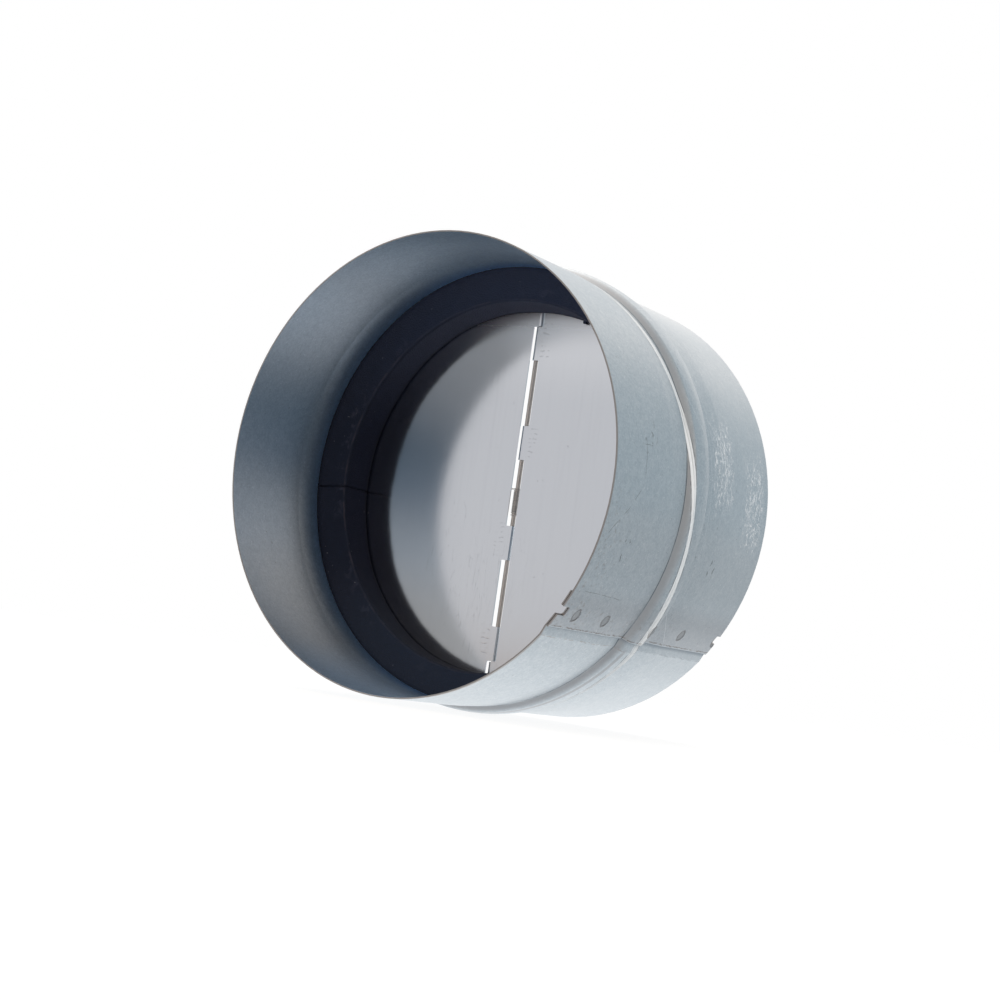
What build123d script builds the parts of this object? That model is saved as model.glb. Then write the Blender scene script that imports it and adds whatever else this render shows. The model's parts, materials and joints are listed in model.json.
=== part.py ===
"""Backdraft damper for a round ventilation duct.

A rolled sheet-metal casing carries a foam seal ring in a roll-formed rib. Two
half-round sheet blades share one upright hinge rod: each blade ends in rolled
knuckles that interleave on the rod. A torsion spring round the rod presses both
blades forward against the seal. Air from the inlet side pushes them open.

Frame: the origin is the centre of the casing on the duct axis. Y runs along the
duct, with the inlet rim at -Y and the outlet rim at +Y. Z runs along the hinge
rod and points up. X points to the right, seen from the inlet. Lengths are in
millimetres, angles in degrees, measured from +X towards +Z.
"""

from build123d import *
import os
from math import cos, degrees, radians, sin, tan

# Casing: one rolled sheet with a lap seam
casing_diameter = 199.0
casing_length = 134.0
casing_sheet = 0.6

# Rib roll-formed round the casing, with a shallow neck on each side
rib_centre = 1.2
rib_width = 19.4
rib_flank = 4.2
rib_height = 1.8
rib_crown = 0.6
neck_depth = 0.6
neck_run = 13.0
neck_bend = 12.0
crease_bend = 0.7
shoulder_bend = 2.0
crown_bend = 30.0

# Lap seam: the lower edge dips under the upper edge and is spot-welded to it
seam_angle = -38.15
seam_lap = 17.7
seam_joggle = 4.4
seam_gap = 0.25
weld_inset = 7.5
weld_diameter = 5.0
weld_dent = 0.12
weld_core_diameter = 4.0
weld_from_inlet = (13.0, 35.8)
weld_from_outlet = (33.2, 1.4)
weld_on_rib = 4.2

# Jig notches in both rims, just above the line of the welds
notch_lift = 1.0
notch_width = 4.3
notch_reach = 2.4
inlet_notch_depth = 5.2
outlet_notch_depth = 3.0

# Foam seal ring: a strip bent to a ring, with its ends butted
seal_front = -5.0
seal_ridge_depth = 14.5
seal_heel_depth = 15.2
seal_film = 0.1
seal_ridge_bend = 1.2
seal_joint_angle = 184.7
seal_joint_gap = 0.3
seal_clearance = 0.3

# Hinge rod and its retaining clips
hinge_offset = 14.0
rod_diameter = 2.0
rod_hole_clearance = 0.1
rod_end = 0.7
rod_end_chamfer = 0.3
clip_diameter = 5.0
clip_sheet = 0.4
clip_dish = 0.6
clip_rim = 0.6
clip_bore_clearance = 0.02
clip_seat_clearance = 0.05

# Blades: two equal stampings, one turned half a turn. Both hang a little below the duct axis.
blade_drop = 1.3
blade_tip_gap = 4.5
blade_sheet = 0.6
knuckle_clearance = 0.08
knuckle_wrap = 290.0
knuckle_length = 16.0
knuckle_gap = 0.4
window_half = 15.0
window_length = 30.0
edge_setback = 2.5
notch_corner = 0.8
tip_inset = 1.5

# Torsion spring: a coil loose on the rod, with one leg behind each blade.
# Eight sides are enough for a wire this thin.
spring_wire = 0.5
spring_wire_sides = 8
spring_bore_clearance = 0.1
spring_top = 0.2
spring_length = 11.2
spring_turns = 15
leg_clearance = 0.15
leg_wrap = 300.0
leg_slope = 25.0
leg_reach = 17.0
leg_bend = 1.5
leg_seat_clearance = 0.03

casing_radius = casing_diameter / 2
half_length = casing_length / 2
seal_ridge_radius = casing_radius - seal_ridge_depth
seal_heel_radius = casing_radius - seal_heel_depth
blade_radius = casing_radius - blade_tip_gap
rib_front = rib_centre - rib_width / 2
rib_rear = rib_centre + rib_width / 2
lap_drop = casing_sheet + seam_gap
rod_radius = rod_diameter / 2
knuckle_bore = rod_radius + knuckle_clearance
knuckle_radius = knuckle_bore + blade_sheet
blade_front = hinge_offset - knuckle_radius
blade_rear = blade_front + blade_sheet
duct_axis = Axis((0, 0, 0), (0, -1, 0))
hinge_axis = Axis((0, hinge_offset, 0), (0, 0, 1))


def arc_angle(length, radius=casing_radius):
    """Angle that an arc of this length takes at this radius."""
    return degrees(length / radius)


def section_plane(angle):
    """Half-plane through the duct axis: local x is the radius, local y is world Y."""
    outward = (cos(radians(angle)), 0, sin(radians(angle)))
    onward = (-sin(radians(angle)), 0, cos(radians(angle)))
    return Plane(origin=(0, 0, 0), x_dir=outward, z_dir=onward)


def casing_points(shift):
    """Corners of the casing's outer line, from inlet to outlet, moved out by shift."""
    shoulder = casing_radius + rib_height + shift
    neck = casing_radius - neck_depth + shift
    rim = casing_radius + shift
    return [
        (rim, -half_length),
        (rim, rib_front - neck_run),
        (neck, rib_front),
        (shoulder, rib_front + rib_flank),
        (shoulder + rib_crown, rib_centre),
        (shoulder, rib_rear - rib_flank),
        (neck, rib_rear),
        (rim, rib_rear + neck_run),
        (rim, half_length),
    ]


def casing_line(shift):
    """The casing's outer line with its bends rounded."""
    bends = [neck_bend, crease_bend, shoulder_bend, crown_bend, shoulder_bend, crease_bend, neck_bend]
    return FilletPolyline(*casing_points(shift), radius=bends)


def band_section(angle, outer_shift, inner_shift):
    """Face between two copies of the casing line, on the half-plane at this angle."""
    with BuildSketch(section_plane(angle)) as band:
        with BuildLine():
            outer = casing_line(outer_shift)
            inner = casing_line(inner_shift)
            Line(outer @ 0, inner @ 0)
            Line(outer @ 1, inner @ 1)
        make_face()
    return band.sketch


def wall_radius(place):
    """Outer radius of the casing behind the rib, at this place along the duct."""
    climb = min(max((place - rib_rear) / neck_run, 0), 1)
    return casing_radius - neck_depth * (1 - climb)


def rib_rise(place):
    """Height of the casing line over the plain wall, at this place along the duct."""
    if rib_front < place < rib_rear:
        reach = rib_width / 2 - rib_flank
        return rib_height + rib_crown * (1 - min(abs(place - rib_centre) / reach, 1))
    return 0


# Angles of the seam
joggle_start = seam_angle - arc_angle(seam_joggle)
joggle_end = seam_angle - arc_angle(seam_gap)
lap_end = seam_angle + arc_angle(seam_lap)
weld_angle = seam_angle + arc_angle(weld_inset)
notch_angle = weld_angle + arc_angle(notch_lift)


# Casing
with BuildPart() as casing:
    # Main turn of the sheet, from the upper edge of the seam round to the joggle
    turn_start = band_section(seam_angle, 0, -casing_sheet)
    revolve(turn_start, axis=duct_axis, revolution_arc=360 + joggle_start - seam_angle)

    # Joggle that leads the lower edge under the upper edge
    turn_end = band_section(joggle_start, 0, -casing_sheet)
    tail_start = band_section(joggle_end, -lap_drop, -lap_drop - casing_sheet)
    loft([turn_end.face(), tail_start.face()], ruled=True)

    # Lapped tail of the sheet
    revolve(tail_start, axis=duct_axis, revolution_arc=lap_end - joggle_end)

    # Spot welds: a core that joins the two layers, and a round dent on the outside
    weld_places = [step - half_length for step in weld_from_inlet]
    weld_places += [half_length - step for step in weld_from_outlet]
    weld_places += [rib_centre + weld_on_rib]
    for place in weld_places:
        surface = casing_radius + rib_rise(place)
        spot = section_plane(weld_angle)
        outward = spot.x_dir
        core_base = outward * (surface - lap_drop - casing_sheet / 2) + Vector(0, place, 0)
        dent_base = outward * (surface - weld_dent) + Vector(0, place, 0)
        with BuildSketch(Plane(origin=core_base, z_dir=outward)):
            Circle(weld_core_diameter / 2)
        extrude(amount=lap_drop)
        with BuildSketch(Plane(origin=dent_base, z_dir=outward)):
            Circle(weld_diameter / 2)
        extrude(amount=casing_sheet, mode=Mode.SUBTRACT)

    # Rims trimmed flush, through the outlet weld that sits on the rim
    for side in (-1, 1):
        with BuildSketch(Plane.XZ.offset(side * half_length)):
            Circle(casing_diameter)
        extrude(amount=side * weld_diameter, mode=Mode.SUBTRACT)

    # Jig notches through both layers at both rims
    for rim, depth in ((-half_length, inlet_notch_depth), (half_length, outlet_notch_depth)):
        outward = section_plane(notch_angle).x_dir
        notch_floor = outward * (casing_radius - notch_reach) + Vector(0, rim, 0)
        with BuildSketch(Plane(origin=notch_floor, x_dir=(0, 1, 0), z_dir=outward)):
            RectangleRounded(2 * depth, notch_width, notch_corner)
        extrude(amount=2 * notch_reach, mode=Mode.SUBTRACT)

    # Holes for the hinge rod
    with BuildSketch(Plane.XY.offset(-casing_diameter)):
        with Locations((0, hinge_offset)):
            Circle(rod_radius + rod_hole_clearance)
    extrude(amount=2 * casing_diameter, mode=Mode.SUBTRACT)
casing.part.label = "casing"


# Foam seal ring, seated in the rib
with BuildPart() as seal_ring:
    seal_rear = blade_front - seal_clearance
    with BuildSketch(section_plane(seal_joint_angle)) as seal_section:
        with BuildLine():
            casing_line(-casing_sheet - seal_film)
            Polyline(
                casing_points(-casing_sheet - seal_film)[-1],
                (seal_heel_radius / 2, half_length),
                (seal_heel_radius / 2, -half_length),
                casing_points(-casing_sheet - seal_film)[0],
            )
        make_face()
        with BuildSketch(section_plane(seal_joint_angle), mode=Mode.INTERSECT):
            with BuildLine():
                Polyline(
                    (casing_diameter, seal_front),
                    (seal_ridge_radius, seal_front),
                    (seal_heel_radius, seal_rear),
                    (casing_diameter, seal_rear),
                    close=True,
                )
            make_face()
        ridge = seal_section.vertices().sort_by(Axis.Y)[:2].sort_by(Axis.X)[:1]
        fillet(ridge, radius=seal_ridge_bend)
    revolve(axis=duct_axis, revolution_arc=360 - arc_angle(seal_joint_gap, seal_ridge_radius))

    # Room for the joggle and the lapped tail of the casing
    relief_start = joggle_start - arc_angle(seam_gap)
    relief_end = lap_end + arc_angle(seam_gap)
    relief = band_section(relief_start, 0, -lap_drop - casing_sheet - seal_film)
    revolve(relief, axis=duct_axis, revolution_arc=relief_end - relief_start, mode=Mode.SUBTRACT)
seal_ring.part.label = "seal_ring"


# Right blade, seen from the inlet: a half disc with rolled knuckles on its straight edge
near_start = window_half + knuckle_gap / 2
near_end = window_half + knuckle_length - knuckle_gap / 2
far_start = window_half + knuckle_length + window_length
knuckle_spans = (
    (near_start, near_end),
    (far_start + knuckle_gap / 2, far_start + knuckle_length - knuckle_gap / 2),
    (tip_inset - blade_radius, -far_start - knuckle_length - knuckle_gap / 2),
)
open_spans = (
    (-far_start - knuckle_length + knuckle_gap / 2, near_start),
    (near_end, far_start + knuckle_gap / 2),
    (far_start + knuckle_length - knuckle_gap / 2, blade_radius + notch_corner),
    (-blade_radius - notch_corner, tip_inset - blade_radius),
)

with BuildPart() as right_blade:
    # Flat half disc, set back from the hinge line where the other blade has its knuckles
    with BuildSketch(Plane(origin=(0, blade_rear, -blade_drop), x_dir=(1, 0, 0), z_dir=(0, -1, 0))):
        Circle(blade_radius)
        with Locations((-blade_radius, 0)):
            Rectangle(2 * blade_radius, 2 * blade_radius, mode=Mode.SUBTRACT)
        for low, high in open_spans:
            with Locations((0, (low + high) / 2)):
                RectangleRounded(2 * edge_setback, high - low, notch_corner, mode=Mode.SUBTRACT)
        for low, high in open_spans:
            with Locations((0, (low + high) / 2)):
                Rectangle(2 * edge_setback - 2 * notch_corner, high - low, mode=Mode.SUBTRACT)
    extrude(amount=blade_sheet)

    # Knuckles rolled round the rod, open at the back where the sheet's edge ends
    for low, high in knuckle_spans:
        with BuildSketch(Plane.XY.offset(low - blade_drop)):
            with BuildLine():
                outer_roll = CenterArc((0, hinge_offset), knuckle_radius, -90, -knuckle_wrap)
                inner_roll = CenterArc((0, hinge_offset), knuckle_bore, -90, -knuckle_wrap)
                Line(outer_roll @ 0, inner_roll @ 0)
                Line(outer_roll @ 1, inner_roll @ 1)
            make_face()
        extrude(amount=high - low)
right_blade.part.label = "right_blade"


# Left blade: the same stamping, turned half a turn about its own middle
with BuildPart() as left_blade:
    blade_middle = Axis((0, 0, -blade_drop), (0, 1, 0))
    add(right_blade.part.rotate(blade_middle, 180))
left_blade.part.label = "left_blade"


# Hinge rod, from clip to clip through both walls of the casing
clip_seat = wall_radius(hinge_offset + clip_diameter / 2) + clip_seat_clearance
clip_top = clip_seat + clip_sheet + clip_dish
rod_half_length = clip_top + rod_end

with BuildPart() as hinge_rod:
    with BuildSketch(Plane.XY.offset(-rod_half_length)):
        with Locations((0, hinge_offset)):
            Circle(rod_radius)
    extrude(amount=2 * rod_half_length)
    chamfer(hinge_rod.edges().filter_by(GeomType.CIRCLE), length=rod_end_chamfer)
hinge_rod.part.label = "hinge_rod"


# Push-on clips that hold the rod from outside, as dished washers
with BuildPart() as rod_clips:
    clip_bore = rod_radius + clip_bore_clearance
    clip_radius = clip_diameter / 2
    with BuildSketch(Plane.XZ.offset(-hinge_offset)):
        with BuildLine():
            Polyline(
                (clip_radius, clip_seat),
                (clip_radius, clip_seat + clip_sheet),
                (clip_radius - clip_rim, clip_seat + clip_sheet),
                (clip_bore, clip_seat + clip_sheet + clip_dish),
                (clip_bore, clip_seat + clip_dish),
                (clip_radius - clip_rim, clip_seat),
                close=True,
            )
        make_face()
    revolve(axis=hinge_axis, revolution_arc=360)
    mirror(about=Plane.XY)
rod_clips.part.label = "rod_clips"


# Torsion spring: the coil on the rod
wire_radius = spring_wire / 2
coil_radius = rod_radius + spring_bore_clearance + wire_radius
coil_rise = spring_length - spring_wire
coil_bottom = spring_top - spring_length

with BuildPart() as spring_coil:
    with BuildLine() as coil_path:
        Helix(
            pitch=coil_rise / spring_turns,
            height=coil_rise,
            radius=coil_radius,
            center=(0, hinge_offset, coil_bottom + wire_radius),
        )
    with BuildSketch(Plane(origin=coil_path.line @ 0, z_dir=coil_path.line % 0)):
        RegularPolygon(wire_radius, spring_wire_sides)
    sweep(path=coil_path.line, is_frenet=True)
spring_coil.part.label = "spring_coil"


# Right leg: it leaves the lower end of the coil and lies behind the right blade
leg_level = coil_bottom - leg_clearance - wire_radius
leg_seat = blade_rear + leg_seat_clearance + wire_radius
take_off = (coil_radius * sin(radians(leg_slope)), hinge_offset + coil_radius * cos(radians(leg_slope)))
landing = (take_off[0] + (take_off[1] - leg_seat) / tan(radians(leg_slope)), leg_seat)

with BuildPart() as right_spring_leg:
    with BuildLine(Plane.XY.offset(leg_level)) as leg_path:
        CenterArc((0, hinge_offset), coil_radius, 90 - leg_slope + leg_wrap, -leg_wrap)
        FilletPolyline(take_off, landing, (leg_reach, leg_seat), radius=leg_bend)
    with BuildSketch(Plane(origin=leg_path.line @ 0, z_dir=leg_path.line % 0)):
        RegularPolygon(wire_radius, spring_wire_sides)
    sweep(path=leg_path.line)
right_spring_leg.part.label = "right_spring_leg"


# Left leg: the same bend at the upper end of the coil, behind the left blade
with BuildPart() as left_spring_leg:
    coil_middle = Axis((0, 0, spring_top - spring_length / 2), (0, 1, 0))
    add(right_spring_leg.part.rotate(coil_middle, 180))
left_spring_leg.part.label = "left_spring_leg"


os.makedirs("parts", exist_ok=True)
export_step(casing.part, "parts/casing.step")
export_step(seal_ring.part, "parts/seal_ring.step")
export_step(left_blade.part, "parts/left_blade.step")
export_step(right_blade.part, "parts/right_blade.step")
export_step(hinge_rod.part, "parts/hinge_rod.step")
export_step(rod_clips.part, "parts/rod_clips.step")
export_step(spring_coil.part, "parts/spring_coil.step")
export_step(left_spring_leg.part, "parts/left_spring_leg.step")
export_step(right_spring_leg.part, "parts/right_spring_leg.step")
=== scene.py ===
"""Studio scene of a backdraft damper: a galvanised casing with a raised rib, a foam
seal ring, and two half-disc blades with a torsion spring on one upright hinge rod."""

import json
import math

import bmesh
import bpy
from mathutils import Matrix, Vector, noise


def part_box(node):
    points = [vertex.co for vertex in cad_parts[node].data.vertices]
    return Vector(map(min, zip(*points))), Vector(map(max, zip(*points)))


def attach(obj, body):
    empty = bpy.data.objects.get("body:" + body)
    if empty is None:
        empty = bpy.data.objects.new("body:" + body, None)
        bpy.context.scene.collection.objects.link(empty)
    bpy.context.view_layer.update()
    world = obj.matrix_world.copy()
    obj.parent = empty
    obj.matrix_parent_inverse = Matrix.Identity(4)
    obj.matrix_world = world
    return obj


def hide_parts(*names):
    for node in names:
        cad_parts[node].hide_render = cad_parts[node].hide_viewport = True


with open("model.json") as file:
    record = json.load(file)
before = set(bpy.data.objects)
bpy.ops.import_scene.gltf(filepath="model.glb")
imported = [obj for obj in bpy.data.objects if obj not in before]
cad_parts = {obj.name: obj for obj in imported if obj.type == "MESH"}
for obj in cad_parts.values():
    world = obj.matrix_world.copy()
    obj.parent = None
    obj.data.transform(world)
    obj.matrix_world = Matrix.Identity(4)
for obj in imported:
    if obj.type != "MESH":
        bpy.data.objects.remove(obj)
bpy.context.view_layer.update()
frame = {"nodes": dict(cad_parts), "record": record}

MM = 0.001
MOUNTS = {mount["name"]: mount for mount in frame["record"]["mounts"]}
RIM_RADIUS = MOUNTS["inlet_spigot"]["dims"]["r_mm"] * MM
METRES_PER_DEGREE = math.radians(1) * RIM_RADIUS
CASING_LOW, CASING_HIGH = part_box("casing")
SEAL_LOW, SEAL_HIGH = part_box("seal_ring")
HALF_LENGTH = CASING_HIGH.y
FLOOR_LEVEL = CASING_LOW.z
SHEET = 0.6 * MM

# Camera, fitted to the photograph's outline: place and axes in rim radii
CAMERA_PLACE = Vector((4.9385, -7.1371, -0.7804)) * RIM_RADIUS
CAMERA_RIGHT = Vector((0.8211, 0.5529, 0.1418))
CAMERA_UP = Vector((-0.0708, -0.1479, 0.9865))
CAMERA_LENS = 69.67
SENSOR_WIDTH = 36.0

# Rib of the casing: places along the duct, and heights against the rim's radius
RIB_CREASE = -8.5 * MM
RIB_SHOULDER = -4.3 * MM
RIB_REAR_SHOULDER = 6.7 * MM
RIB_REAR_CREASE = 11.0 * MM
RIB_HEIGHT = 1.75 * MM
NECK_DEPTH = 0.6 * MM

# Seam of the casing: angles in degrees about the duct axis, welds in millimetres along it
SEAM_ANGLE = -38.15
WELD_ANGLE = -33.85
WELD_PLACES = (-54.0, -31.2, 5.4, 33.8, 65.6)
WELD_SQUEEZE = 0.72
NOTCH_ANGLE = -33.3
NOTCH_HALF_WIDTH = 1.4
NOTCH_DEPTH = 5.2 * MM
LAP_DEPTH = 1.4 * MM

# Marks on the outside of the casing. Every place on it is (degrees, millimetres along the duct).
# A scratch has its start, end, width and drift from a straight line, a patch its middle and half size.
STAIN_PATCHES = (((-34.5, -30.0), (5.0, 70.0)), ((-20.0, -58.0), (24.0, 12.0)))
SCUFF_PATCHES = (((11.0, 25.0), (17.0, 13.0)), ((3.0, 54.0), (19.0, 13.0)))
SMUDGE_PATCHES = (
    ((-15.0, -45.0), (5.0, 5.0)),
    ((-15.0, 27.0), (4.0, 5.0)),
    ((-10.0, 10.0), (7.0, 4.0)),
    ((11.0, -40.0), (6.0, 7.0)),
)
PALE_SCRATCHES = (
    ((26.0, -6.0), (12.0, 9.0), 0.16, 1.5),
    ((52.0, -11.0), (54.0, 4.0), 0.15, 1.5),
    ((34.0, 6.0), (16.0, 14.0), 0.14, 1.5),
    ((42.0, 12.0), (6.0, 17.0), 0.12, 0.7),
    ((-28.0, 10.0), (-37.0, 25.0), 0.16, 1.5),
    ((12.0, 56.0), (-4.0, 66.0), 0.18, 1.5),
    ((20.0, 13.0), (-26.0, 16.0), 0.12, 0.6),
)
DARK_SCRATCHES = (
    ((-16.0, -67.0), (0.0, -44.0), 0.17, 2.5),
    ((0.0, -44.0), (12.0, -43.0), 0.17, 2.0),
    ((-27.0, -60.0), (-27.5, -30.0), 0.13, 2.0),
    ((9.0, -52.0), (10.0, -38.0), 0.13, 2.0),
)

# Foam seal ring: its joint in degrees, its edges' radii, and the wear round its ridge from front to slope.
# The front face runs outwards from the ridge, from FACE_START to FACE_BEND, and its outer edge lies
# OUTER_LEAD nearer the inlet. FOAM_FILM is the air between foam and casing.
SEAL_JOINT_ANGLE = 184.7
SEAL_JOINT_GAP = 0.28
RIDGE_RADIUS = 85.0 * MM
HEEL_RADIUS = 84.3 * MM
RIDGE_ROUNDING = 1.2 * MM
RIDGE_WEAR = (0.3, 1.0, 1.0, 0.6, 0.2, 0.0, 0.0)
FACE_START = 2.2 * MM
FACE_BEND = 6.0 * MM
OUTER_LEAD = 1.5 * MM
LIP_HEIGHT = 2.5 * MM
FOAM_FILM = 0.1 * MM

# The hand-laid foam is uneven round the ring. Each row: degrees, how far its front edge and its
# heel stand inwards, and how far the front edge bulges forward, in millimetres.
FOAM_SHAPE = (
    (0, 1.0, 0.5, 0.5), (60, 1.3, 2.0, 0.3), (90, 1.4, 2.3, 0.0), (106, 1.3, 1.6, 0.3), (120, 1.7, 1.0, 0.9),
    (150, 1.7, 0.7, 0.9), (172, 1.6, 0.0, 1.6), (195, 1.2, -0.7, 0.7), (212, 0.9, -1.5, 0.0),
    (240, 0.9, -1.5, 0.0), (270, 1.0, -0.3, 0.0), (300, 1.0, 0.0, 0.3), (360, 1.0, 0.5, 0.5),
)

# Light of the studio: each colour is that of one side of the room. The camera's own side
# is dim and bluish, so that the bare metal shows the soft dark lobes of the photograph.
FRONT_DIM = (0.050, 0.088, 0.13, 1)
FRONT_GREY = (0.56, 0.48, 0.41, 1)
FRONT_BRIGHT = (0.66, 0.67, 0.69, 1)
FRONT_WARM = (0.80, 0.65, 0.53, 1)
BACK_BLUE = (0.45, 0.52, 0.56, 1)
BACK_PALE = (1.10, 1.06, 1.03, 1)
BACK_WHITE = (2.45, 2.36, 2.26, 1)
SIDE_BROWN = (0.52, 0.50, 0.48, 1)
FLOOR_DEEP = (0.065, 0.105, 0.14, 1)
FLOOR_DIM = (0.50, 0.43, 0.38, 1)
FLOOR_PALE = (0.50, 0.53, 0.55, 1)
FLOOR_WHITE = (1.2, 1.2, 1.2, 1)
PAPER_WHITE = (1.0, 1.0, 1.0, 1)
FLOOR_PAPER = (0.86, 0.86, 0.86, 1)
BACKDROP_PAPER = (0.9, 0.9, 0.9, 1)
FLOOR_GLOW_SHARE = 0.80
FLOOR_GLOW = 1.08

# Size of the stage in metres
FLOOR_REACH = 6.0
BACKDROP_DISTANCE = 1.6
BACKDROP_HALF_WIDTH = 0.75
BACKDROP_TOP = 1.5


def set_up_camera():
    right = CAMERA_RIGHT.normalized()
    back = right.cross(CAMERA_UP).normalized()
    up = back.cross(right)
    camera = bpy.data.objects.new("camera", bpy.data.cameras.new("camera"))
    camera.matrix_world = Matrix((
        (right.x, up.x, back.x, CAMERA_PLACE.x),
        (right.y, up.y, back.y, CAMERA_PLACE.y),
        (right.z, up.z, back.z, CAMERA_PLACE.z),
        (0, 0, 0, 1),
    ))
    camera.data.lens = CAMERA_LENS
    camera.data.sensor_width = SENSOR_WIDTH
    camera.data.clip_start = 0.01
    bpy.context.collection.objects.link(camera)
    bpy.context.scene.camera = camera


class Nodes:
    """A node tree, with short calls for the nodes that are used here."""

    def __init__(self, tree):
        self.tree = tree

    def add(self, kind, inputs=None, **settings):
        node = self.tree.nodes.new(kind)
        for key, value in settings.items():
            setattr(node, key, value)
        for key, value in (inputs or {}).items():
            self.feed(node.inputs[key], value)
        return node

    def feed(self, socket, value):
        if isinstance(value, bpy.types.NodeSocket):
            self.tree.links.new(value, socket)
        else:
            socket.default_value = value

    def math(self, operation, *values):
        return self.add("ShaderNodeMath", dict(enumerate(values)), operation=operation).outputs[0]

    def reduce(self, operation, values):
        """The operation between the first two values, then with each value that follows."""
        result = values[0]
        for value in values[1:]:
            result = self.math(operation, result, value)
        return result

    def total(self, *values):
        return self.reduce("ADD", values)

    def times(self, *values):
        return self.reduce("MULTIPLY", values)

    def most(self, *values):
        return self.reduce("MAXIMUM", values)

    def length(self, x, y):
        return self.math("POWER", self.total(self.math("POWER", x, 2.0), self.math("POWER", y, 2.0)), 0.5)

    def ramp(self, value, low, high):
        """0 at low, 1 at high, with a soft step between them."""
        node = self.add(
            "ShaderNodeMapRange",
            {"Value": value, "From Min": low, "From Max": high},
            interpolation_type="SMOOTHSTEP",
        )
        return node.outputs["Result"]

    def band(self, value, middle, half_width, soft):
        """1 within half_width of middle, and 0 past a soft edge."""
        distance = self.math("ABSOLUTE", self.math("SUBTRACT", value, middle))
        return self.ramp(distance, half_width + soft, half_width)

    def spread(self, value, low, high):
        """Straight change from 0..1 to low..high."""
        node = self.add("ShaderNodeMapRange", {"Value": value, "To Min": low, "To Max": high}, clamp=False)
        return node.outputs["Result"]

    def mix(self, share, first, second):
        node = self.add("ShaderNodeMix", {0: share, 6: first, 7: second}, data_type="RGBA")
        return node.outputs[2]

    def join(self, x, y, z):
        return self.add("ShaderNodeCombineXYZ", {0: x, 1: y, 2: z}).outputs[0]

    def split(self, vector):
        return self.add("ShaderNodeSeparateXYZ", {0: vector}).outputs

    def stretch(self, vector, x, y, z):
        return self.add("ShaderNodeVectorMath", {0: vector, 1: (x, y, z)}, operation="MULTIPLY").outputs[0]

    def rays(self, *kinds):
        """1 for rays of these kinds, as Light Path names them."""
        path = self.add("ShaderNodeLightPath")
        return self.most(*[path.outputs[kind] for kind in kinds])

    def shader_mix(self, share, first, second):
        return self.add("ShaderNodeMixShader", {0: share, 1: first, 2: second}).outputs[0]

    def glow(self, color, strength=1.0):
        return self.add("ShaderNodeEmission", {"Color": color, "Strength": strength}).outputs[0]

    def paper(self, color):
        return self.add("ShaderNodeBsdfDiffuse", {"Color": color}).outputs[0]


class Graph(Nodes):
    """Node tree of a new material round its Principled BSDF."""

    def __init__(self, name):
        self.material = bpy.data.materials.new(name)
        self.material.use_nodes = True
        super().__init__(self.material.node_tree)
        self.bsdf = self.tree.nodes["Principled BSDF"]
        coordinates = self.add("ShaderNodeTexCoord").outputs
        self.place = coordinates["Object"]
        self.facing = coordinates["Normal"]

    def noise(self, scale, vector=None, detail=2.0, roughness=0.5, distortion=0.0):
        node = self.add("ShaderNodeTexNoise", {
            "Vector": self.place if vector is None else vector,
            "Scale": scale,
            "Detail": detail,
            "Roughness": roughness,
            "Distortion": distortion,
        })
        return node.outputs["Fac"]

    def finish(self, height, depth, **inputs):
        """Feeds the shader: inputs are its sockets' names, in lower case with low dashes."""
        bump = self.add("ShaderNodeBump", {"Height": height, "Distance": depth})
        self.feed(self.bsdf.inputs["Normal"], bump.outputs["Normal"])
        names = {name.lower().replace(" ", "_"): name for name in self.bsdf.inputs.keys()}
        for key, value in inputs.items():
            self.feed(self.bsdf.inputs[names[key]], value)
        return self.material

    def finish_surface(self, shader):
        """Puts this shader in the Principled BSDF's place."""
        self.feed(self.tree.nodes["Material Output"].inputs["Surface"], shader)
        return self.material


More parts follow.
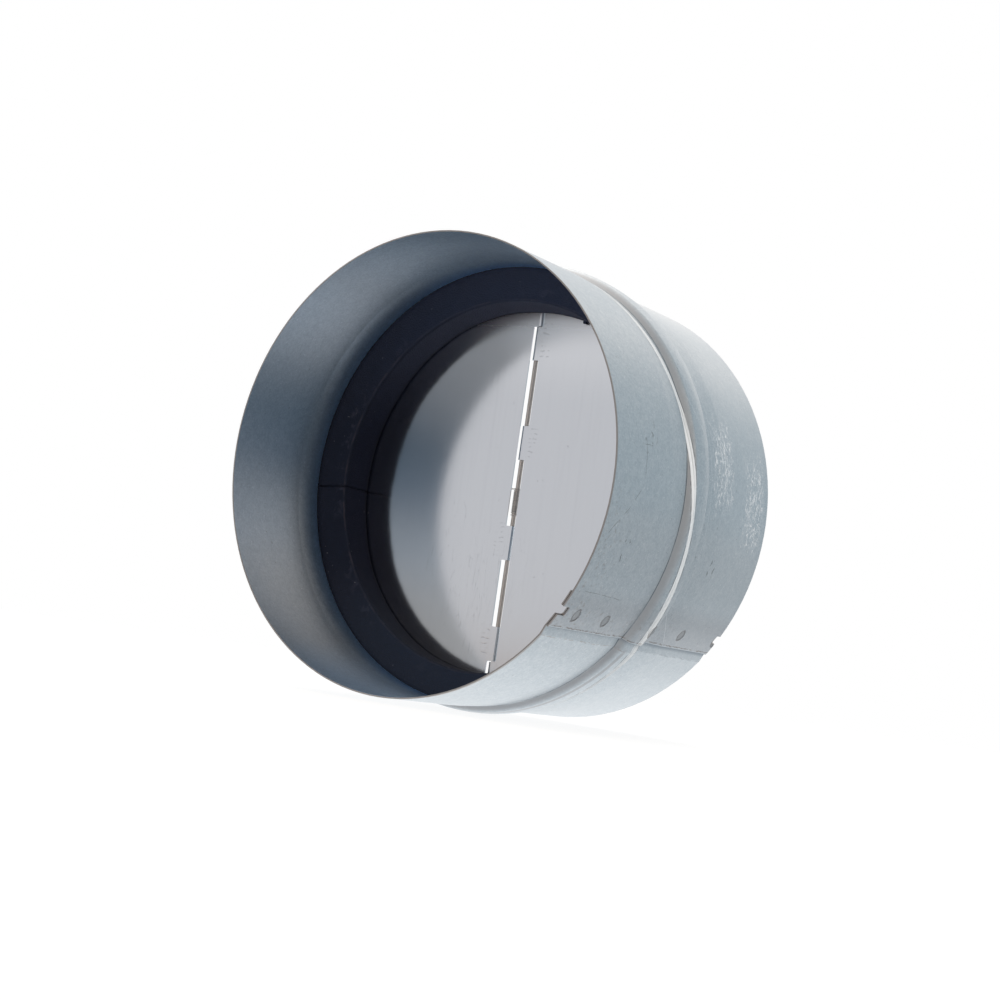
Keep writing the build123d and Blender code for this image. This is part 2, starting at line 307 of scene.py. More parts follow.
class WallGraph(Graph):
    """Material of a ring round the duct. Each point has its angle about the duct axis in degrees, its
    rise from -1 at the bottom to 1 at the top, its arc length, place along the duct and radius in
    metres, and outside: 1 where the surface faces away from the axis, 0 where it faces the axis."""

    def __init__(self, name):
        super().__init__(name)
        parts = self.split(self.place)
        self.angle = self.math("DEGREES", self.math("ARCTAN2", parts["Z"], parts["X"]))
        self.rise = self.math("SINE", self.math("RADIANS", self.angle))
        self.arc = self.times(self.angle, METRES_PER_DEGREE)
        self.along = parts["Y"]
        self.radius = self.length(parts["X"], parts["Z"])
        facing = self.add("ShaderNodeVectorMath", {0: self.place, 1: self.facing}, operation="DOT_PRODUCT")
        self.outside = self.ramp(self.math("DIVIDE", facing.outputs["Value"], self.radius), -0.15, 0.15)

    def from_spot(self, angle, place):
        """Distance from a place on the wall, squeezed round the duct and distorted a little, so that
        a weld's mark there is oval and uneven."""
        across = self.times(self.math("SUBTRACT", self.arc, angle * METRES_PER_DEGREE), WELD_SQUEEZE)
        down = self.math("SUBTRACT", self.along, place * MM)
        unevenness = self.spread(self.noise(520.0, detail=3.0), -0.9 * MM, 0.9 * MM)
        return self.total(self.length(across, down), unevenness)

    def patch(self, middle, half_size):
        """Soft-edged patch of the wall, with its middle and half size as (degrees, millimetres)."""
        return self.times(
            self.band(self.angle, middle[0], 0.4 * half_size[0], 0.6 * half_size[0]),
            self.band(self.along, middle[1] * MM, 0.4 * half_size[1] * MM, 0.6 * half_size[1] * MM),
        )

    def stroke(self, start, end, width, drift):
        """Thin scratch from start to end, both as (degrees, millimetres), along a slightly crooked line."""
        middle = ((start[0] + end[0]) / 2, (start[1] + end[1]) / 2)
        run = ((end[0] - start[0]) * METRES_PER_DEGREE, (end[1] - start[1]) * MM)
        length = math.hypot(*run)
        across = self.times(self.math("SUBTRACT", self.angle, middle[0]), METRES_PER_DEGREE)
        down = self.math("SUBTRACT", self.along, middle[1] * MM)
        forward = self.total(self.times(across, run[0] / length), self.times(down, run[1] / length))
        aside = self.total(self.times(across, -run[1] / length), self.times(down, run[0] / length))
        crooked = self.total(aside, self.spread(self.noise(45.0, detail=3.0), -drift * MM, drift * MM))
        line = self.ramp(self.math("ABSOLUTE", crooked), width * MM, 0.2 * width * MM)
        return self.times(line, self.band(forward, 0.0, 0.42 * length, 0.08 * length))


def rgb(red, green, blue):
    """Linear colour from the 0..255 values that a screen shows."""
    def linear(value):
        share = value / 255
        return share / 12.92 if share <= 0.04045 else ((share + 0.055) / 1.055) ** 2.4
    return (linear(red), linear(green), linear(blue), 1.0)


def zinc_coat_and_painted_light(g, clouds, mottle):
    """Cloudy zinc with a fine mottle and flecks; painted light makes it paler outside towards the outlet and
    the top.
    """
    zinc = g.mix(clouds, rgb(190, 200, 207), rgb(201, 209, 214))
    zinc = g.mix(g.ramp(mottle, 0.36, 0.64), g.mix(0.30, zinc, rgb(140, 154, 166)), zinc)
    patches = g.ramp(g.noise(330.0, detail=3.0, roughness=0.6), 0.40, 0.68)
    zinc = g.mix(g.times(patches, 0.22), zinc, rgb(222, 226, 229))
    # Painted light: the outside turns paler towards the outlet.
    outlet = g.times(g.ramp(g.along, 5.0 * MM, 45.0 * MM), g.outside, 0.25)
    zinc = g.mix(outlet, zinc, rgb(226, 232, 236))
    # Painted highlight: the outside near the top turns almost white.
    top = g.times(g.band(g.angle, 90.0, 18.0, 30.0), g.ramp(g.along, -25.0 * MM, 25.0 * MM), g.outside, 0.7)
    zinc = g.mix(top, zinc, rgb(244, 246, 247))
    pale_flecks = g.ramp(g.noise(1100.0, detail=2.0), 0.64, 0.72)
    zinc = g.mix(g.times(pale_flecks, 0.5), zinc, rgb(236, 238, 240))
    dark_flecks = g.ramp(g.noise(620.0, detail=2.0), 0.70, 0.78)
    return g.mix(g.times(dark_flecks, 0.45), zinc, rgb(120, 126, 132))


def painted_inlet_light(g, zinc):
    """Painted light inside the inlet: a bluish tint, paler at the top and bottom, and painted shade beside
    the foam.
    """
    steep = g.math("ABSOLUTE", g.rise)
    # Painted light: bluish at the sides, paler towards the top and bottom.
    side_painted_tint = g.stretch(zinc, 0.91, 1.0, 1.10)
    low_painted_light = g.stretch(zinc, 0.98, 1.24, 1.55)
    high_painted_light = g.stretch(zinc, 1.12, 1.32, 1.52)
    pale_painted_light = g.mix(g.ramp(g.angle, -10.0, 10.0), low_painted_light, high_painted_light)
    painted_inside_light = g.mix(g.ramp(steep, 0.78, 1.0), side_painted_tint, pale_painted_light)
    # Painted shade: darker towards the foam.
    painted_inside_light = g.mix(g.ramp(g.along, -20.0 * MM, RIB_CREASE), painted_inside_light, g.stretch(painted_inside_light, 0.62, 0.80, 1.0))
    return g.mix(g.most(g.outside, g.ramp(g.along, -6.0 * MM, 0.0)), painted_inside_light, zinc)


def painted_flat_end_shade(g, zinc):
    """The outer sheet's end, above the seam, lies flatter than the tube; painted shade makes it a little
    darker.
    """
    above_seam = g.ramp(g.angle, SEAM_ANGLE + 0.1, SEAM_ANGLE + 0.6)
    share = g.times(above_seam, g.ramp(g.angle, -24.0, -31.0), g.outside)
    return g.mix(share, zinc, g.stretch(zinc, 0.84, 0.82, 0.82))


def stains(g, zinc):
    """Brownish stains along the seam and near the inlet rim."""
    zone = g.most(*[g.patch(*patch) for patch in STAIN_PATCHES])
    stain = g.times(g.ramp(g.noise(520.0, detail=4.0), 0.56, 0.72), zone, g.outside)
    return g.mix(g.times(stain, 0.4), zinc, rgb(140, 130, 124))


def scuffs(g, zinc):
    """Scuffed patches on the outlet half: the zinc with them, and where they are."""
    zone = g.most(*[g.patch(*patch) for patch in SCUFF_PATCHES])
    way = g.join(g.times(g.arc, 0.34), g.along, g.radius)
    streaks = g.noise(960.0, way, detail=4.0, roughness=0.65, distortion=1.4)
    marks = g.ramp(g.total(streaks, g.times(zone, 0.12)), 0.655, 0.70)
    marks = g.times(marks, g.outside, g.ramp(zone, 0.05, 0.4))
    return g.mix(g.times(marks, 0.75), zinc, rgb(228, 232, 235)), marks


def scratches(g, zinc, breaks):
    """Single scratches and dark smudges: the zinc with them, and where the dark ones are."""
    pale_lines = g.total(*[g.stroke(*scratch) for scratch in PALE_SCRATCHES])
    zinc = g.mix(g.times(pale_lines, g.outside, 0.7), zinc, rgb(232, 235, 238))
    dark_lines = g.total(*[g.stroke(*scratch) for scratch in DARK_SCRATCHES])
    specks = g.noise(480.0, g.join(g.times(g.arc, 0.5), g.along, 0.0), detail=3.0)
    smudge_zone = g.total(*[g.patch(*patch) for patch in SMUDGE_PATCHES])
    smudges = g.times(g.ramp(specks, 0.60, 0.68), smudge_zone)
    dark = g.math("MINIMUM", g.total(g.times(dark_lines, breaks, 0.75), g.times(smudges, 0.7)), 1.0)
    return g.mix(g.times(dark, g.outside), zinc, rgb(84, 88, 92)), dark


def rib_painted_shade(g, zinc, clouds, below_seam):
    """The rib's flank towards the inlet gets a painted brownish-grey reflection, and painted shade darkens a
    band on the rib below the seam and its crease.
    """
    # Painted reflection: brownish grey on the flank towards the inlet.
    flank = g.times(
        g.ramp(g.along, RIB_CREASE, RIB_CREASE + 0.6 * MM),
        g.ramp(g.along, RIB_SHOULDER + 1.0 * MM, RIB_CREASE + 1.4 * MM),
        g.spread(clouds, 0.75, 1.0),
        g.outside,
    )
    zinc = g.mix(flank, zinc, g.mix(below_seam, rgb(160, 162, 165), rgb(144, 146, 150)))
    # Painted shade: a darker band on the rib below the seam.
    shoulder = g.times(g.band(g.along, -2.5 * MM, 0.7 * MM, 0.7 * MM), below_seam, g.outside)
    zinc = g.mix(g.times(shoulder, 0.55), zinc, rgb(146, 144, 146))
    # Painted shade in the crease.
    uneven = g.spread(g.ramp(g.noise(70.0), 0.3, 0.6), 0.5, 1.0)
    crease = g.times(g.band(g.along, RIB_CREASE, 0.14 * MM, 0.34 * MM), uneven, g.outside)
    return g.mix(g.times(crease, 0.7), zinc, rgb(78, 82, 88)), flank


def painted_rib_highlight(g, zinc, breaks):
    """Painted highlight across the rib: pale lengthwise streaks between two thin painted dark edges."""
    middle = g.total(-0.043 * RIM_RADIUS, g.times(g.rise, -0.129 * RIM_RADIUS))
    from_widest = g.math("ABSOLUTE", g.math("SUBTRACT", g.angle, 5.0))
    narrowing = g.spread(g.ramp(from_widest, 8.0, 38.0), 1.0, 0.52)
    aside = g.times(g.math("SUBTRACT", g.along, middle), narrowing)
    run = g.times(g.band(g.angle, -2.0, 62.0, 12.0), g.outside)
    highlight_track = g.times(g.band(aside, 0.0, 1.02 * MM, 0.2 * MM), run)
    streaks = g.noise(900.0, g.join(g.times(g.arc, 0.02), aside, 0.0), detail=3.0, roughness=0.7)
    zinc = g.mix(g.times(highlight_track, g.spread(g.ramp(streaks, 0.36, 0.58), 0.30, 1.0)), zinc, rgb(221, 226, 229))
    # Painted shade: thin dark edges on both sides of the highlight.
    edges = g.times(g.band(g.math("ABSOLUTE", aside), 1.32 * MM, 0.10 * MM, 0.16 * MM), run, breaks)
    return g.mix(g.times(edges, 0.6), zinc, rgb(92, 98, 104)), highlight_track


def spot_welds(g, zinc):
    """Each weld shows a brownish uneven ring round a slightly darker middle."""
    for place in WELD_PLACES:
        distance = g.from_spot(WELD_ANGLE, place)
        disc = g.ramp(distance, 2.3 * MM, 1.6 * MM)
        ring = g.band(distance, 1.9 * MM, 0.20 * MM, 0.45 * MM)
        mark = g.most(g.times(disc, 0.36), g.times(ring, 0.66))
        zinc = g.mix(g.times(mark, g.outside), zinc, rgb(104, 99, 97))
    return zinc


def seam_marks(g, zinc):
    """Shade on the joggle below the seam, a dark line at the seam, and a broken line on each side."""
    joggle = g.times(
        g.ramp(g.angle, SEAM_ANGLE - 1.5, SEAM_ANGLE - 0.2),
        g.ramp(g.angle, SEAM_ANGLE + 0.1, SEAM_ANGLE),
        g.spread(g.ramp(g.along, -10.0 * MM, 20.0 * MM), 0.2, 0.6),
        g.outside,
    )
    zinc = g.mix(joggle, zinc, rgb(112, 126, 140))
    line = g.times(g.band(g.angle, SEAM_ANGLE, 0.08, 0.14), g.outside)
    zinc = g.mix(g.times(line, 0.6), zinc, rgb(104, 114, 124))
    gaps = g.ramp(g.noise(420.0, detail=3.0), 0.40, 0.52)
    wavy = g.total(g.angle, g.spread(g.noise(380.0, detail=2.0), -0.45, 0.45))
    dirt = g.times(g.band(wavy, SEAM_ANGLE + 0.62, 0.07, 0.16), gaps, g.outside)
    zinc = g.mix(g.times(dirt, 0.65), zinc, rgb(112, 100, 92))
    bend = g.times(g.band(wavy, SEAM_ANGLE - 2.7, 0.05, 0.16), gaps, g.outside)
    bend_color = g.mix(g.ramp(g.along, -10.0 * MM, 5.0 * MM), rgb(140, 122, 112), rgb(126, 134, 142))
    return g.mix(g.times(bend, 0.4), zinc, bend_color)


def cut_edges(g, zinc, below_seam):
    """Worn band beside the inlet rim, and the cut edges at both rims and in the jig notches."""
    band_line = g.total(g.along, g.times(below_seam, -0.7 * MM))
    worn = g.times(g.ramp(band_line, 0.65 * MM - HALF_LENGTH, 0.45 * MM - HALF_LENGTH), g.outside)
    zinc = g.mix(g.times(worn, 0.75), zinc, rgb(158, 153, 151))
    from_middle = g.math("ABSOLUTE", g.along)
    rims = g.ramp(from_middle, HALF_LENGTH - 0.10 * MM, HALF_LENGTH - 0.02 * MM)
    notch_floor = HALF_LENGTH - NOTCH_DEPTH
    notches = g.times(
        g.ramp(from_middle, notch_floor - 0.4 * MM, notch_floor - 0.2 * MM),
        g.band(g.angle, NOTCH_ANGLE, NOTCH_HALF_WIDTH, 0.1),
        g.ramp(g.radius, RIM_RADIUS - 0.03 * MM, RIM_RADIUS - 0.08 * MM),
        g.ramp(g.radius, RIM_RADIUS - LAP_DEPTH - 0.04 * MM, RIM_RADIUS - LAP_DEPTH),
    )
    edges = g.times(g.most(rims, notches), 0.7)
    return g.mix(edges, zinc, rgb(150, 145, 142)), edges


def galvanised_sheet():
    g = WallGraph("galvanised_sheet")
    clouds = g.noise(16.0, detail=3.0)
    mottle = g.noise(1000.0, detail=4.0, roughness=0.7)
    grain = g.noise(900.0, g.stretch(g.place, 1.0, 3.0, 1.0), detail=2.0)
    breaks = g.ramp(g.noise(210.0, detail=3.0), 0.40, 0.56)
    below_seam = g.times(g.ramp(g.angle, SEAM_ANGLE - 1.0, SEAM_ANGLE - 4.0), g.ramp(g.angle, -178.0, -150.0))

    zinc = zinc_coat_and_painted_light(g, clouds, mottle)
    zinc = painted_inlet_light(g, zinc)
    zinc = painted_flat_end_shade(g, zinc)
    zinc = stains(g, zinc)
    zinc, scuffed = scuffs(g, zinc)
    zinc, dark = scratches(g, zinc, breaks)
    zinc, flank = rib_painted_shade(g, zinc, clouds, below_seam)
    zinc, highlight_track = painted_rib_highlight(g, zinc, breaks)
    zinc = spot_welds(g, zinc)
    zinc = seam_marks(g, zinc)
    zinc, edges = cut_edges(g, zinc, below_seam)

    gloss = g.total(g.spread(clouds, 0.28, 0.34), g.times(mottle, 0.08), g.times(edges, 0.15))
    metallic = g.total(0.88, g.times(highlight_track, -0.75), g.times(scuffed, -0.5), g.times(flank, -0.3))
    height = g.total(g.times(mottle, 0.5), g.times(grain, 0.35), g.times(dark, -0.5), g.times(scuffed, 0.3))
    height = g.times(height, g.spread(g.outside, 0.3, 1.0))
    return g.finish(height, 0.03 * MM, base_color=zinc, roughness=gloss, metallic=metallic)


def press_creases(g, x, z):
    """Faint dashes of the press beside the knuckles, on the blade that carries them."""
    height_on_blade = g.times(z, g.math("SIGN", x))
    zone = g.times(
        g.band(g.math("ABSOLUTE", x), 5.2 * MM, 1.8 * MM, 1.2 * MM),
        g.most(*[g.band(height_on_blade, height * MM, 7.0 * MM, 2.0 * MM) for height in (23.0, 69.0)]),
    )
    rows = g.total(g.times(z, 1 / (2.1 * MM)), g.spread(g.noise(160.0), -0.9, 0.9))
    return g.times(
        g.band(g.math("FRACT", rows), 0.5, 0.04, 0.16),
        g.ramp(g.noise(420.0, g.stretch(g.place, 1.0, 1.0, 0.6)), 0.46, 0.58),
        zone,
    )


def blade_sheet():
    g = Graph("blade_sheet")
    parts = g.split(g.place)
    clouds = g.noise(9.0, detail=3.0)
    grain = g.noise(500.0, g.stretch(g.place, 1.0, 1.0, 0.03), detail=3.0, roughness=0.6)
    mottle = g.noise(140.0, detail=4.0, roughness=0.6)
    metal = g.mix(clouds, rgb(222, 223, 227), rgb(229, 230, 233))
    metal = g.mix(g.times(g.ramp(grain, 0.45, 0.8), 0.10), metal, rgb(200, 201, 207))
    specks = g.ramp(g.noise(300.0, detail=3.0), 0.72, 0.80)
    metal = g.mix(g.times(specks, 0.3), metal, rgb(150, 151, 156))
    hairs = g.noise(240.0, g.stretch(g.place, 1.0, 1.0, 0.12), detail=2.0, distortion=1.5)
    hairs = g.times(g.band(hairs, 0.5, 0.004, 0.006), g.ramp(g.noise(22.0), 0.55, 0.72))
    metal = g.mix(g.times(hairs, 0.25), metal, rgb(160, 161, 168))
    metal = g.mix(g.times(g.ramp(parts["Z"], 38.0 * MM, 75.0 * MM), 0.7), metal, rgb(248, 248, 250))
    dashes = press_creases(g, parts["X"], parts["Z"])
    metal = g.mix(g.times(dashes, 0.26), metal, rgb(140, 141, 146))
    haze = g.ramp(parts["Z"], 58.0 * MM, 80.0 * MM)
    gloss = g.total(g.spread(clouds, 0.11, 0.13), g.times(mottle, 0.02), g.times(haze, 0.16))
    height = g.total(g.times(grain, 0.3), g.times(mottle, 0.4), g.times(dashes, -0.3))
    return g.finish(height, 0.02 * MM, base_color=metal, roughness=gloss, metallic=1.0)


def seal_foam():
    g = WallGraph("seal_foam")
    cells = g.add("ShaderNodeTexVoronoi", {"Vector": g.place, "Scale": 1500.0}).outputs["Distance"]
    lumps = g.noise(130.0, detail=4.0, roughness=0.6)
    foam = g.mix(lumps, rgb(18, 23, 37), rgb(27, 32, 47))
    foam = g.mix(g.times(g.ramp(g.noise(24.0, detail=3.0), 0.5, 0.75), 0.4), foam, rgb(36, 38, 50))

    # The slope behind the ridge is darker, and the ridge itself is worn brownish in places
    slope = g.ramp(g.along, SEAL_LOW.y, SEAL_LOW.y + 2.0 * MM)
    foam = g.mix(g.times(slope, 0.8), foam, rgb(22, 27, 46))
    ridge = g.times(
        g.ramp(g.add("ShaderNodeAttribute", attribute_name="ridge").outputs["Fac"], 0.2, 1.0),
        g.spread(g.ramp(g.noise(150.0, detail=3.0), 0.40, 0.64), 0.15, 1.0),
    )
    foam = g.mix(g.times(ridge, 0.5), foam, rgb(62, 56, 62))
    worn = g.times(
        g.ramp(g.noise(210.0, detail=4.0, distortion=0.6), 0.50, 0.62),
        g.ramp(g.noise(30.0), 0.46, 0.6),
        g.band(g.radius, RIDGE_RADIUS + 2.5 * MM, 1.5 * MM, 2.0 * MM),
        g.ramp(slope, 0.5, 0.1),
    )
    foam = g.mix(g.times(worn, 0.42), foam, rgb(60, 60, 72))

    # Painted light pales the foam at the top and bottom, and lint sticks to it
    upper = g.ramp(g.rise, 0.2, 1.0)
    foam = g.mix(g.times(upper, 0.5), foam, g.mix(slope, rgb(40, 47, 66), rgb(74, 80, 100)))
    lower = g.ramp(g.rise, -0.45, -0.85)
    foam = g.mix(g.times(lower, 0.5), foam, rgb(44, 52, 66))
    lint = g.ramp(g.noise(700.0, detail=1.0), 0.76, 0.80)
    foam = g.mix(g.times(lint, 0.4), foam, rgb(120, 120, 124))
    gloss = g.spread(lumps, 0.72, 0.88)
    height = g.total(g.times(cells, 0.8), lumps, g.times(ridge, 0.4))
    return g.finish(height, 0.22 * MM, base_color=foam, roughness=gloss, specular_ior_level=0.25)


def steel(name, dark, light, gloss, grain_stretch):
    """Drawn or stamped steel, between a dark and a light tone, with a fine grain."""
    g = Graph(name)
    grain = g.noise(1400.0, g.stretch(g.place, *grain_stretch), detail=3.0)
    patches = g.noise(180.0, detail=3.0)
    metal = g.mix(patches, dark, light)
    metal = g.mix(g.times(g.ramp(grain, 0.5, 0.8), 0.2), metal, rgb(120, 113, 108))
    roughness = g.spread(patches, gloss, gloss + 0.12)
    return g.finish(grain, 0.02 * MM, base_color=metal, roughness=roughness, metallic=0.6)


def share_between(value, low, high):
    return min(max((value - low) / (high - low), 0.0), 1.0)


def steps_to(start, end, count):
    """Evenly spaced values after start, the last of them at end."""
    return [start + (end - start) * step / count for step in range(1, count + 1)]


def rib_bore(place):
    """Outer radius of the foam, inside the casing's rib, at this place along the duct."""
    crest = RIM_RADIUS + RIB_HEIGHT - SHEET - FOAM_FILM
    foot = RIM_RADIUS - NECK_DEPTH - SHEET - FOAM_FILM
    front = share_between(place, SEAL_LOW.y, SEAL_LOW.y + OUTER_LEAD)
    back = share_between(place, RIB_REAR_CREASE, RIB_REAR_SHOULDER)
    return foot + (crest - foot) * min(front * 0.6 + 0.4, back)


def foam_shape(degrees):
    """Row of FOAM_SHAPE at this angle, eased between its neighbours, in metres."""
    degrees %= 360
    for first, second in zip(FOAM_SHAPE, FOAM_SHAPE[1:]):
        if degrees <= second[0]:
            share = share_between(degrees, first[0], second[0])
            share *= share * (3 - 2 * share)
            return [(a + (b - a) * share) * MM for a, b in zip(first[1:], second[1:])]


def foam_section(degrees):
    """Outline of the strip at this angle: place along the duct, radius, and share of the worn ridge."""
    ridge_in, heel_in, bulge = foam_shape(degrees)
    outer_front, front, back = SEAL_LOW.y - OUTER_LEAD, SEAL_LOW.y - bulge, SEAL_HIGH.y
    ridge, heel = RIDGE_RADIUS - ridge_in, HEEL_RADIUS - heel_in
    slope = (heel - ridge) / (back - front)

    # Front face, rounded ridge, slope, rear face and outer face
    section = [((outer_front + front) / 2, ridge + FACE_BEND, 0.0), (front, ridge + FACE_START, 0.0)]
    for step, wear in enumerate(RIDGE_WEAR):
        turn = math.radians(90) * step / (len(RIDGE_WEAR) - 1)
        backward = RIDGE_ROUNDING * (1 - math.cos(turn))
        outward = RIDGE_ROUNDING * (1 - math.sin(turn))
        section.append((front + backward, ridge + outward + slope * backward, wear))
    for place in steps_to(front + RIDGE_ROUNDING, back, 9):
        section.append((place, ridge + slope * (place - front), 0.0))
    for radius in steps_to(heel, rib_bore(back), 4):
        section.append((back, radius, 0.0))
    for place in steps_to(back, outer_front, 6):
        section.append((place, rib_bore(place), 0.0))

    # Lip that closes the rib's groove at its crease, lower where the lapped sheet stands in
    lap = share_between(abs(degrees % 360 - 360 - SEAM_ANGLE), 25.0, 15.0)
    section.append((RIB_CREASE + 0.1 * MM, RIM_RADIUS - SHEET - (0.05 + 1.3 * lap) * MM, 0.0))
    section.append((outer_front, rib_bore(outer_front) - LIP_HEIGHT, 0.0))
    return section


def foam_piece(name, mesh, material):
    """Smooth piece of foam made of this mesh. It rides on the casing's body."""
    data = bpy.data.meshes.new(name)
    mesh.to_mesh(data)
    mesh.free()
    data.materials.append(material)
    for face in data.polygons:
        face.use_smooth = True
    piece = bpy.data.objects.new(name, data)
    bpy.context.collection.objects.link(piece)
    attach(piece, "body")
    return piece


def build_seal(material):
    """Foam strip bent to a ring: a closed form with a butt joint and slightly uneven edges."""
    sections = 360
    mesh = bmesh.new()
    rings = []
    ridge_shares = []
    start = math.radians(SEAL_JOINT_ANGLE)
    sweep = 2 * math.pi - math.radians(SEAL_JOINT_GAP)
    for step in range(sections + 1):
        angle = start + sweep * step / sections
        outward = Vector((math.cos(angle), 0, math.sin(angle)))
        ring = []
        for place, radius, wear in foam_section(math.degrees(angle)):
            if radius < RIDGE_RADIUS + 4 * MM and place < SEAL_HIGH.y - 0.5 * MM:
                ripples = noise.noise(outward * 22.0 + Vector((place * 200, 0, 0)))
                radius += (noise.noise(outward * 5.0) + ripples) * 0.15 * MM
            point = outward * radius
            point.y = place
            ring.append(mesh.verts.new(point))
            ridge_shares.append(wear)
        rings.append(ring)
    for first, second in zip(rings, rings[1:]):
        for index in range(len(first)):
            after = (index + 1) % len(first)
            mesh.faces.new((first[index], first[after], second[after], second[index]))
    mesh.faces.new(rings[0][::-1])
    mesh.faces.new(rings[-1])
    bmesh.ops.recalc_face_normals(mesh, faces=mesh.faces)
    piece = foam_piece("foam_seal", mesh, material)
    piece.data.attributes.new("ridge", "FLOAT", "POINT").data.foreach_set("value", ridge_shares)
    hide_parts("seal_ring")


def build_shred(material):
    """Small torn shred of foam that hangs from the seal's rear edge near the top."""
    mesh = bmesh.new()
    bmesh.ops.create_icosphere(mesh, subdivisions=3, radius=1.0)
    for vertex in mesh.verts:
        ragged = 1 + 0.55 * noise.noise(vertex.co * 2.3) + 0.25 * noise.noise(vertex.co * 6.0)
        vertex.co = Vector((vertex.co.x * 1.5, vertex.co.y * 0.5, vertex.co.z * 1.0)) * ragged * 0.75 * MM
    piece = foam_piece("foam_shred", mesh, material)
    piece.location = (0.255 * RIM_RADIUS, SEAL_HIGH.y - 0.9 * MM, 0.782 * RIM_RADIUS)
    piece.rotation_euler = (0, math.radians(25), 0)


def floor_paper():
    """White paper that keeps a share of the object's shadow. In the metal its front part shows dimmer."""
    g = Graph("floor_paper")
    parts = g.split(g.place)
    sheet = g.paper(FLOOR_PAPER)
    seen = g.shader_mix(FLOOR_GLOW_SHARE, sheet, g.glow(PAPER_WHITE, FLOOR_GLOW))
    behind = g.mix(g.ramp(parts["X"], 160.0 * MM, 20.0 * MM), FLOOR_PALE, FLOOR_WHITE)
    near = g.mix(g.ramp(parts["Y"], -170.0 * MM, -60.0 * MM), FLOOR_DIM, behind)
    slant = g.total(parts["X"], g.times(parts["Y"], 0.3))
    deep = g.times(g.ramp(parts["Y"], -90.0 * MM, -200.0 * MM), g.ramp(slant, -20.0 * MM, 40.0 * MM))
    mirrored = g.glow(g.mix(deep, near, FLOOR_DEEP))
    surface = g.shader_mix(g.rays("Is Camera Ray", "Is Transmission Ray"), sheet, seen)
    return g.finish_surface(g.shader_mix(g.rays("Is Glossy Ray"), surface, mirrored))


def backdrop_paper():
    """White paper that is plain white to the camera and in the metal."""
    g = Graph("backdrop_paper")
    seen = g.rays("Is Camera Ray", "Is Glossy Ray", "Is Transmission Ray")
    return g.finish_surface(g.shader_mix(seen, g.paper(BACKDROP_PAPER), g.glow(PAPER_WHITE)))


def sheet_of_paper(name, corners, material):
    data = bpy.data.meshes.new(name)
    data.from_pydata(corners, [], [(0, 1, 2, 3)])
    data.materials.append(material)
    piece = bpy.data.objects.new(name, data)
    bpy.context.collection.objects.link(piece)


def set_up_stage():
    """A wide floor under the object, and an upright backdrop behind it, square to the camera."""
    reach = FLOOR_REACH
    square = ((-reach, -reach), (reach, -reach), (reach, reach), (-reach, reach))
    sheet_of_paper("floor", [(x, y, FLOOR_LEVEL) for x, y in square], floor_paper())
    ahead = -(CAMERA_RIGHT.cross(CAMERA_UP))
    ahead.z = 0
    ahead.normalize()
    side = Vector((ahead.y, -ahead.x, 0)) * BACKDROP_HALF_WIDTH
    left, right = ahead * BACKDROP_DISTANCE - side, ahead * BACKDROP_DISTANCE + side
    corners = [(end.x, end.y, FLOOR_LEVEL) for end in (left, right)]
    corners += [(end.x, end.y, BACKDROP_TOP) for end in (right, left)]
    sheet_of_paper("backdrop", corners, backdrop_paper())


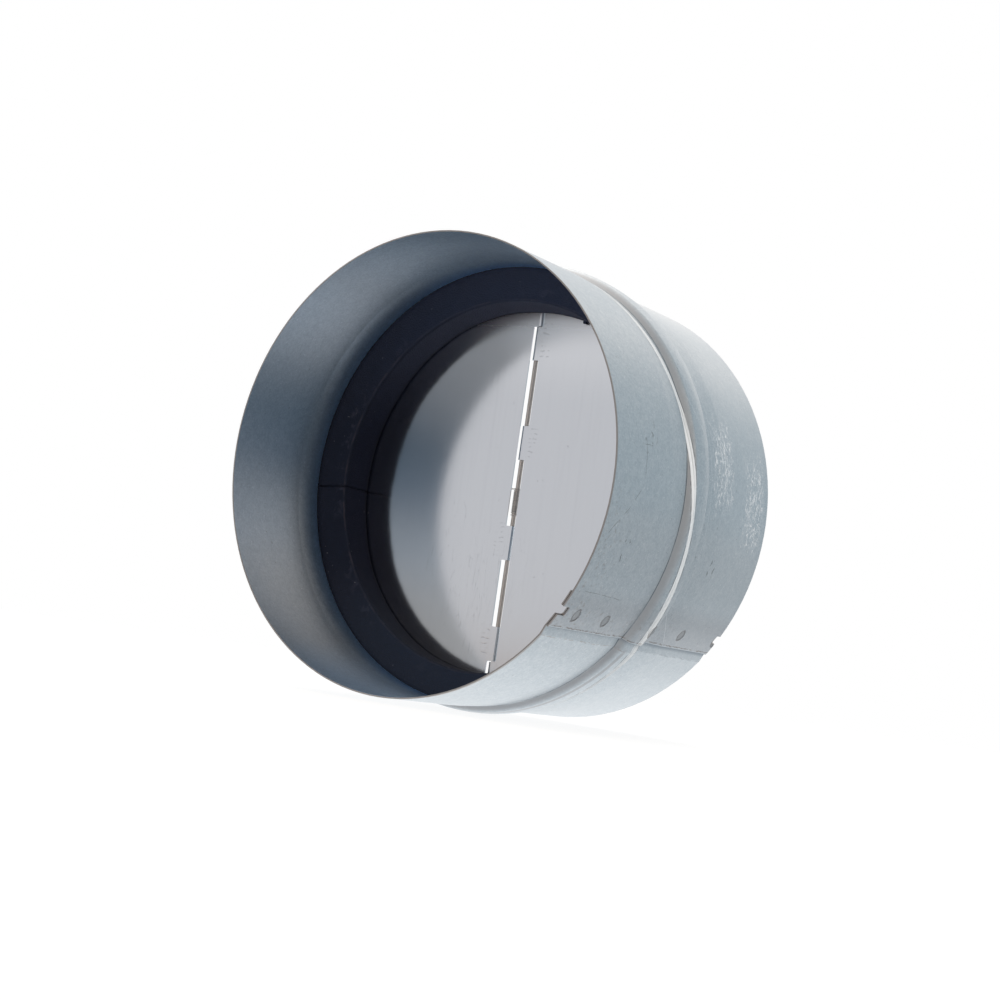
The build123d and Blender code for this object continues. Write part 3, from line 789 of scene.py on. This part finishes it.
def set_up_world():
    """A studio with a bright left rear, a dim right front, and white for the camera."""
    world = bpy.data.worlds.new("studio")
    world.use_nodes = True
    bpy.context.scene.world = world
    g = Nodes(world.node_tree)
    way = g.split(g.add("ShaderNodeTexCoord").outputs["Generated"])
    front = g.mix(g.ramp(way["Z"], 0.04, 0.40), FRONT_DIM, FRONT_GREY)
    front = g.mix(g.ramp(way["X"], 0.66, 0.34), front, FRONT_BRIGHT)
    front = g.mix(g.ramp(way["Z"], 0.35, 0.60), front, FRONT_WARM)
    back = g.mix(g.ramp(way["X"], 0.40, -0.10), BACK_BLUE, BACK_PALE)
    back = g.mix(g.ramp(way["X"], -0.10, -0.50), back, BACK_WHITE)
    studio = g.mix(g.ramp(way["Y"], -0.25, 0.25), front, back)
    studio = g.mix(g.ramp(way["X"], 0.80, 0.95), studio, SIDE_BROWN)
    unseen = g.add("ShaderNodeBackground", {"Color": studio}).outputs[0]
    white = g.add("ShaderNodeBackground", {"Color": PAPER_WHITE}).outputs[0]
    seen = g.rays("Is Camera Ray", "Is Transmission Ray")
    g.feed(g.tree.nodes["World Output"].inputs["Surface"], g.shader_mix(seen, unseen, white))


def softbox(name, place, size, power, color=(1, 1, 1)):
    """Soft light that looks at the object and isn't mirrored in it."""
    light = bpy.data.lights.new(name, "AREA")
    light.color = color
    light.shape = "RECTANGLE"
    light.size, light.size_y = size
    light.energy = power
    lamp = bpy.data.objects.new(name, light)
    lamp.location = place
    lamp.rotation_euler = (-Vector(place)).to_track_quat("-Z", "Y").to_euler()
    lamp.visible_glossy = False
    bpy.context.collection.objects.link(lamp)


def set_up_lights():
    softbox("back_softbox", (-0.60, 1.20, 1.10), (1.3, 0.9), 5.0)
    softbox("top_softbox", (0.1, -0.1, 1.9), (1.6, 1.6), 8.0)
    softbox("side_softbox", (1.5, -0.6, 0.8), (1.6, 1.6), 10.0)
    softbox("low_softbox", (-0.30, -0.55, -0.02), (0.5, 0.3), 1.0, (0.55, 0.8, 1.0))


def finish_nodes():
    """Gives each CAD node its material. The seal ring has none, because a foam piece replaces it."""
    zinc = galvanised_sheet()
    blade_metal = blade_sheet()
    rod_steel = steel("rod_steel", rgb(186, 176, 169), rgb(204, 194, 187), 0.34, (1.0, 1.0, 0.05))
    spring_steel = steel("spring_steel", rgb(178, 172, 168), rgb(200, 194, 190), 0.30, (1.0, 1.0, 1.0))
    clip_steel = steel("clip_steel", rgb(150, 150, 150), rgb(176, 176, 178), 0.30, (1.0, 1.0, 1.0))
    finishes = {
        "casing": zinc,
        "left_blade": blade_metal,
        "right_blade": blade_metal,
        "hinge_rod": rod_steel,
        "rod_clips": clip_steel,
        "spring_coil": spring_steel,
        "left_spring_leg": spring_steel,
        "right_spring_leg": spring_steel,
    }
    for name, finish in finishes.items():
        materials = frame["nodes"][name].data.materials
        materials.clear()
        materials.append(finish)


set_up_camera()
set_up_world()
set_up_stage()
set_up_lights()
bpy.context.scene.view_settings.view_transform = "Standard"

finish_nodes()
foam = seal_foam()
build_seal(foam)
build_shred(foam)
